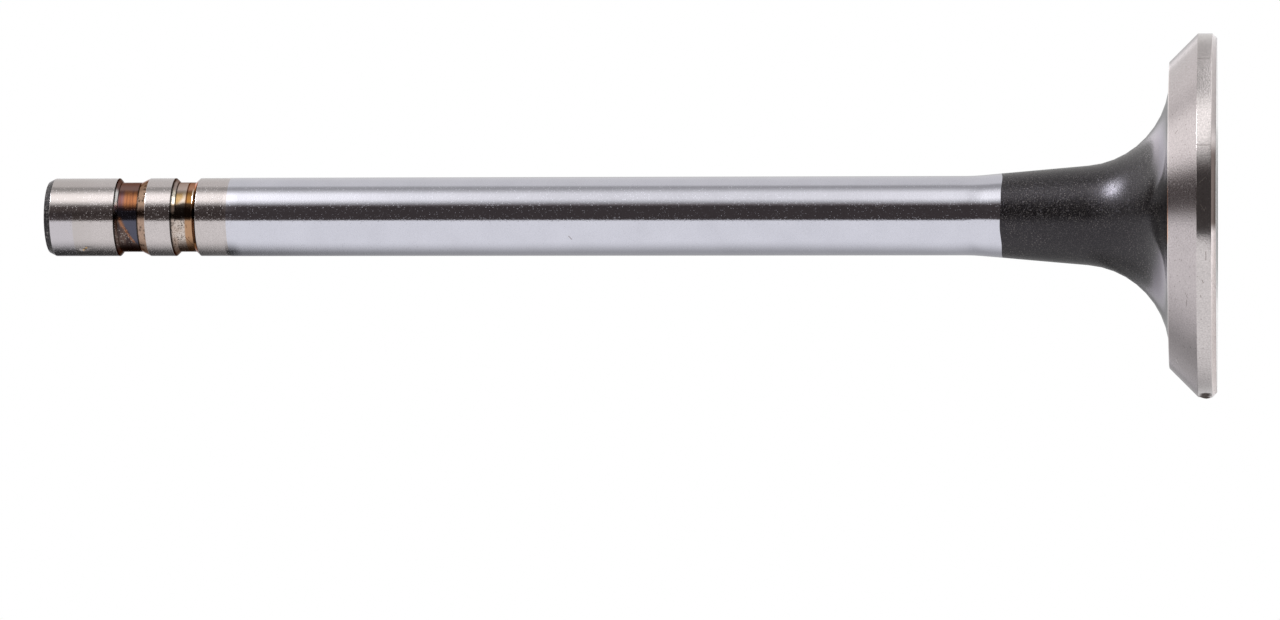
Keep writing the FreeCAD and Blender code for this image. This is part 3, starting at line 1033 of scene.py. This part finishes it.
def neck_marks(tree, colour):
    """Short bright scratches across the curve of the neck."""
    bright = scratches(tree, on_neck, 0.12 * MM, 0.08 * MM, NECK_SCRATCHES)
    return glaze(colour, (bright, 0.8, NECK_SCRATCH))


def face_marks(tree, colour):
    """Faint arcs that the turning tool left in the recess, and a few radial scratches."""
    where = use_group(tree, place_group)
    inner = line_mask(where["Radius"], INNER_ARC, 0.14 * MM)
    outer = line_mask(where["Radius"], OUTER_ARC, 0.1 * MM)
    inner_arc = times(inner, fade(where["Side"], 0.0, 0.4))
    outer_arc = times(outer, fade(where["Side"], -0.2, -0.6))
    arcs = maths("ADD", inner_arc, outer_arc, clamp=True)
    rubbed = scratches(tree, on_face, 0.16 * MM, 0.1 * MM, FACE_SCRATCHES)
    return glaze(colour, (arcs, 0.35, TOOL_ARC), (rubbed, 0.6, FACE_SCRATCH))


black_neck = black_finish("black_neck", NECK_BLACK, 0.24, 0.11 * MM, 16e-6, 0.55, 0.87, neck_marks)
black_face = black_finish("black_face", FACE_BLACK, 0.34, 0.5 * MM, 45e-6, 0.04, marks=face_marks)
tip_chamfer = black_finish("tip_chamfer", TIP_BLACK, 0.35, 0.25 * MM, 40e-6, 1.0, sheen=0.45)
print("finishes", black_neck.name, black_face.name, tip_chamfer.name)

# %% [markdown]
# With every finish made, the lathe runs once. The valve is one closed piece, and it stands for
# the plain solid of the same shape.

# %% The turned valve
finish_list = [
    black_face, rim_chamfer, ground_rim, ground_seat, black_neck, chrome_stem, ground_stem,
    ring_groove, keeper_groove, ground_tip, tip_chamfer, tip_face,
]


def show(made):
    """Puts an object into the scene."""
    bpy.context.scene.collection.objects.link(made)


turned = turned_mesh("turned_valve", outline, finishes, finish_list)
valve = bpy.data.objects.new("turned_valve", turned)
show(valve)
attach(valve, "root")
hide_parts("engine_valve")
triangles = sum(len(face.vertices) - 2 for face in valve.data.polygons)
print("turned_valve has", triangles, "triangles")

# %% [markdown]
# The floor is a pale sheet. It stays matt, so it keeps the valve's soft shadow, and a little
# glow for the camera and for mirrors brings its unshaded part up to white. It has a hole just
# smaller than the valve's face and can be seen through from below, so a look at the underside
# finds the face and not the sheet.

# %% Floor
FLOOR_REACH = 1.9
FLOOR_OVERLAP = 0.6 * MM
FLOOR_GLOW = 0.3
GLOW_RISE = (0.15, 0.5)
PAPER = (0.82, 0.82, 0.82, 1)


def ring_sheet(name, inner, outer, rings=12):
    """A flat ring: radius grows evenly in its logarithm, round the circle in equal steps. Its
    quads are asked for the other way round than the valve's, so that they face up."""
    radius = np.geomspace(inner, outer, rings)[:, None]
    angle = np.linspace(0, 2 * math.pi, 128, endpoint=False)
    points = np.stack([radius * np.cos(angle), radius * np.sin(angle), 0 * radius * angle], axis=-1)
    index = np.arange(points[..., 0].size).reshape(rings, -1)
    onward = np.roll(index, -1, axis=1)
    mesh = bpy.data.meshes.new(name)
    mesh.from_pydata(points.reshape(-1, 3).tolist(), [], grid_quads(onward, index).tolist())
    return bpy.data.objects.new(name, mesh)


def seen_directly(tree):
    """1 for a ray from the camera, a mirror or glass, and 0 for one that carries soft light."""
    path = put(tree, "ShaderNodeLightPath").outputs
    mirrored = maths("MAXIMUM", path["Is Camera Ray"], path["Is Glossy Ray"])
    return maths("MAXIMUM", mirrored, path["Is Transmission Ray"])


def bare_material(name):
    """A material without its usual shader: returns it, its tree and what its surface reads."""
    material = bpy.data.materials.new(name)
    material.use_nodes = True
    nodes = material.node_tree.nodes
    nodes.remove(nodes["Principled BSDF"])
    return material, material.node_tree, nodes["Material Output"].inputs["Surface"]


floor = ring_sheet("floor_sheet", HEAD_RADIUS - FLOOR_OVERLAP, FLOOR_REACH)
show(floor)
paper, tree, surface = bare_material("pale_paper")
matt = put(tree, "ShaderNodeBsdfDiffuse", {"Color": PAPER}).outputs[0]
outward = fade(use_group(tree, place_group)["Radius"], *GLOW_RISE)
rising = times_plus(outward, 1 - FLOOR_GLOW, FLOOR_GLOW)
glow = add("ShaderNodeEmission", {"Strength": times(seen_directly(tree), rising)}).outputs[0]
lit = add("ShaderNodeAddShader", {0: matt, 1: glow}).outputs[0]
clear = put(tree, "ShaderNodeBsdfTransparent").outputs[0]
behind = put(tree, "ShaderNodeNewGeometry").outputs["Backfacing"]
sheet = add("ShaderNodeMixShader", {0: behind, 1: lit, 2: clear}).outputs[0]
tree.links.new(sheet, surface)
floor.data.materials.append(paper)
print("floor out to", FLOOR_REACH, "m")

# %% [markdown]
# Polished metal shows the room, so the room is built as a light tent: a sphere of paper round
# the valve, too large to get in the camera's way and hidden from it. Its brightness is one
# number at each point. Going up from the camera and over the top runs a dark opening, one side
# of it is plain white, and on the other hangs a softer, brighter panel. Those three make the
# light, dark and bright bands that run along the stem.

# %% Light tent
TENT_RADIUS = 2.0
OPENING = 0.06
GAP = 0.47
WARM_LIGHT = np.array([1.0, 0.99, 0.97])
WARM_DARK = np.array([1.0, 0.8, 0.77])
WINDOW_CAST = np.array([1.0, 0.95, 1.04])


def card(angle, start, end, soft):
    """1 between two angles and 0 outside them: a smooth step up times a smooth step down, each
    soft degrees wide."""
    rise = np.clip((angle - start) / soft + 0.5, 0, 1)
    fall = np.clip((end - angle) / soft + 0.5, 0, 1)
    return (3 - 2 * rise) * rise ** 2 * (3 - 2 * fall) * fall ** 2


def hang(light, mask, brightness):
    """What is behind a card is covered as far as the card's mask says."""
    return light + mask * (brightness - light)


def wall_light(around, lift):
    """Brightness of the walls at an angle round the valve, from the camera towards +X, and a
    lift above the horizon: white paper, which is shaded behind the valve on the -X side, a dark
    opening, a bright panel and a gap beside it. Higher than thirteen degrees the panel is
    brighter and a dark patch hangs in the shade."""
    light = hang(np.interp(lift, [1, 4], [0.6, 0.82]), card(around, -200, 0, 5), 1.0)
    shade_end = np.interp(lift, [1, 6.7, 9.5, 12.6, 15], [-118, -100, -108, -109, -96])
    shade = np.interp(lift, [1, 9.6, 12.6, 19, 27], [0.5, 0.44, 0.36, 0.4, 0.45])
    patch = card(lift, 13.4, 19, 3) * card(around, -175, 60, 16)
    shade = hang(shade, patch, 0.03)
    light = hang(light, card(around, -400, shade_end, 60), shade)
    light = hang(light, card(around, 165, 400, 40), shade)
    opening_start = np.interp(lift, [4, 9.6], [-14, -11.5])
    light = hang(light, card(around, opening_start, 60, 4), OPENING)
    gap_end = np.interp(lift, [1, 4], [109, 99])
    light = hang(light, card(around, 70, gap_end, 11), GAP)
    panel = np.interp(lift, [1, 4, 6, 8, 9.6, 12.6, 13.6], [1.5, 1.2, 1.05, 1.0, 1.1, 1.36, 1.8])
    panel_start = np.interp(lift, [1, 4], [37, 40.5])
    panel_end = np.interp(lift, [1, 4, 7, 9.6], [75, 79.5, 79, 76])
    return hang(light, card(around, panel_start, panel_end, 26), panel)


def roof_light(turn, tilt):
    """Brightness overhead. turn is 0 at the camera, 90 at the top and 180 behind, and tilt leans
    towards +X: white, with the dark opening as a slot that ends behind the valve, a bright panel
    beside it and a shaded corner at the back."""
    light = hang(0.97, card(tilt, 17, 60, 10) * card(turn, -90, 115, 12), 1.3)
    light = hang(light, card(tilt, 26, 60, 8) * card(turn, 113, 125, 10), 0.78)
    light = hang(light, card(tilt, -90, -22, 26) * card(turn, 113, 300, 44), 0.3)
    return hang(light, card(tilt, -0.5, 15, 7) * card(turn, -90, 123, 30), OPENING)


def tent_glow(turn, tilt):
    """Colour of the tent: walls low down, roof high up, a smooth change between, and a window
    behind the valve, which is what the curve beside the seat mirrors. It is neutral on the -X
    side, a little warm on the +X side, and warmer where it is dark."""
    up, side = np.radians(turn), np.radians(tilt)
    around = np.degrees(np.arctan2(np.sin(side) + 0 * up, np.cos(side) * np.cos(up)))
    lift = np.degrees(np.arcsin(np.cos(side) * np.sin(up)))
    roof = card(lift, 30, 200, 36)
    brightness = hang(wall_light(around, lift), roof, roof_light(turn, tilt))
    window = card(tilt, -18.5, 19, 3) * card(turn, 130, 160, 24)
    brightness = hang(brightness, window, np.interp(tilt, [-8, 7, 18], [1.25, 1.6, 2.75]))
    brightness = hang(brightness, card(lift, -14, 0, 1.5) * card(np.abs(around), 140, 400, 20), 1.3)
    brightness = hang(brightness, card(lift, -200, -12, 12), 0.6)[..., None]
    warm = card(around, -12, 165, 4)[..., None]
    cast = WARM_DARK + (WARM_LIGHT - WARM_DARK) * np.clip(brightness / 0.4, 0, 1)
    return brightness * (1 + warm * (cast - 1)) * (1 + window[..., None] * (WINDOW_CAST - 1))


def glowing_sheet(name, points, glow, closed):
    """A mesh over a grid of points, closed round its first direction or open, that carries a
    colour at each point. Quads go round in the second direction, so the grid is transposed."""
    index = np.arange(points[..., 0].size).reshape(points.shape[:2]).T
    onward = np.roll(index, -1, axis=1)
    if not closed:
        index, onward = index[:, :-1], onward[:, :-1]
    mesh = bpy.data.meshes.new(name)
    mesh.from_pydata(points.reshape(-1, 3).tolist(), [], grid_quads(index, onward).tolist())
    colours = np.concatenate([glow, np.ones_like(glow[..., :1])], axis=-1)
    mesh.attributes.new("glow", "FLOAT_COLOR", "POINT").data.foreach_set("color", colours.ravel())
    return bpy.data.objects.new(name, mesh)


def light_tent(name):
    """A sphere: at a turn and a tilt the point is radius times (sine of tilt, -cosine of tilt
    times cosine of turn, cosine of tilt times sine of turn). Its faces look inwards."""
    turn = np.arange(0, 360, 2.0)[:, None]
    tilt = np.linspace(-90, 90, 181)[None, :]
    up, side = np.radians(turn), np.radians(tilt)
    points = TENT_RADIUS * np.stack(
        [np.sin(side) + 0 * up, -np.cos(side) * np.cos(up), np.cos(side) * np.sin(up)], axis=-1
    )
    return glowing_sheet(name, points, tent_glow(turn, tilt), True)


tent_paper, tree, surface = bare_material("tent_paper")
glow = put(tree, "ShaderNodeAttribute", attribute_name="glow").outputs["Color"]
tree.links.new(add("ShaderNodeEmission", {"Color": glow, "Strength": 1}).outputs[0], surface)
tent = light_tent("light_tent")
tent.data.materials.append(tent_paper)
tent.visible_camera = False
show(tent)
print("tent of", len(tent.data.polygons), "faces")

# %% [markdown]
# From a little above, the upright stem mirrors the floor and no longer the tent, and plain white
# paper would make it look like white paint. So the foot of the tent goes on over the floor as a
# ring with the same light and dark parts, and a dark card more at the very back, which draws the
# stem's dark band in the views from behind. That card stays 34 mm away from the axis, because the
# rim mirrors what is nearer. Near the valve the panel is brighter, for the walls of the grooves.
# Only mirrors see the foot: the camera, the soft light and the shadows pass it by.

# %% Foot of the tent
FOOT_LIFT = 0.2 * MM
FOOT_START = 21 * MM
BACK_CARD_START = 34 * MM
BRIGHT_PART = (20 * MM, 120 * MM)
NEAR_PANEL = 1.9

around = np.linspace(-180, 180, 241)[:, None]
radius = np.geomspace(FOOT_START, TENT_RADIUS * 0.98, 16)[None, :]
heading = np.radians(around)
foot_points = np.stack(
    [radius * np.sin(heading), -radius * np.cos(heading), FOOT_LIFT + 0 * radius * heading], axis=-1
)
foot_light = wall_light(around + 0 * radius, 1 + 0 * radius * around)
at_back = card(np.abs(around), 167, 400, 5) * card(radius, BACK_CARD_START, 9, 10 * MM)
beside_valve = card(around, 38, 98, 10) * card(radius, *BRIGHT_PART, 50 * MM)
foot_light = hang(hang(foot_light, at_back, OPENING), beside_valve, NEAR_PANEL)
foot = glowing_sheet("tent_foot", foot_points, foot_light[..., None] * np.ones(3), False)
foot.data.materials.append(tent_paper)
for kind in ("camera", "diffuse", "transmission", "volume_scatter", "shadow"):
    setattr(foot, "visible_" + kind, False)
show(foot)
print("foot of the tent from", FOOT_START, "m outwards")

# %% [markdown]
# One lamp stands high on the bright side. It is small, so it makes the single soft highlight on
# the black curve of the neck.

# %% Lamp
LAMP_WAY = Vector((0.698, -0.339, 0.633))
LAMP_DISTANCE = 1.2
LAMP_POWER = 11.0
LAMP_WIDTH = 0.5
LAMP_HEIGHT = 0.22
LAMP_COLOUR = (0.93, 0.95, 1)
lamp_data = bpy.data.lights.new("key_lamp", "AREA")
lamp_data.shape = "RECTANGLE"
lamp_data.size = LAMP_WIDTH
lamp_data.size_y = LAMP_HEIGHT
lamp_data.energy = LAMP_POWER
lamp_data.color = LAMP_COLOUR
lamp = bpy.data.objects.new("key_lamp", lamp_data)
lamp.location = LAMP_WAY * LAMP_DISTANCE
lamp.rotation_mode = "QUATERNION"
lamp.rotation_quaternion = LAMP_WAY.to_track_quat("Z", "Y")
show(lamp)
print("lamp at", tuple(round(v, 2) for v in lamp.location))

# %% [markdown]
# The world is the white that the camera sees past the floor. It gives no soft light of its own,
# because the tent does that.

# %% World
world = bpy.data.worlds.new("white_room")
world.use_nodes = True
tree = world.node_tree
tree.links.new(seen_directly(tree), tree.nodes["Background"].inputs["Strength"])
tree.nodes["Background"].inputs["Color"].default_value = WHITE
bpy.context.scene.world = world
print("world", world.name)

# %% [markdown]
# The photograph shows the valve lying down, its tip to the left, so here the camera is turned
# instead of the valve: the picture's right is down the stem and its top is +X. The edges of the
# grooves bulge towards the tip, and more so the further they are from the head, which tells that
# the lens was near the level of the head's face and looked up the stem.

# %% Camera
PICTURE_WIDTH = 1280
FOCAL_PIXELS = 5689
SENSOR = 36
MIDDLE_HEIGHT = 65.48 * MM
MIDDLE_SIDE = -10.69 * MM
CAMERA_DISTANCE = 648.8 * MM
CAMERA_LIFT = math.radians(6.19)
camera_data = bpy.data.cameras.new("camera")
camera_data.sensor_width = SENSOR
camera_data.lens = FOCAL_PIXELS * SENSOR / PICTURE_WIDTH
camera_data.clip_start = 0.01
camera = bpy.data.objects.new("camera", camera_data)
ahead = Vector((0, math.cos(CAMERA_LIFT), math.sin(CAMERA_LIFT)))
top = Vector((1, 0, 0))
right = ahead.cross(top)
place = Vector((MIDDLE_SIDE, 0, MIDDLE_HEIGHT)) - ahead * CAMERA_DISTANCE
camera.matrix_world = Matrix.Translation(place) @ Matrix((right, top, -ahead)).transposed().to_4x4()
show(camera)
bpy.context.scene.camera = camera
bpy.context.scene.view_settings.view_transform = "Standard"
print("camera at", tuple(round(v, 4) for v in place))
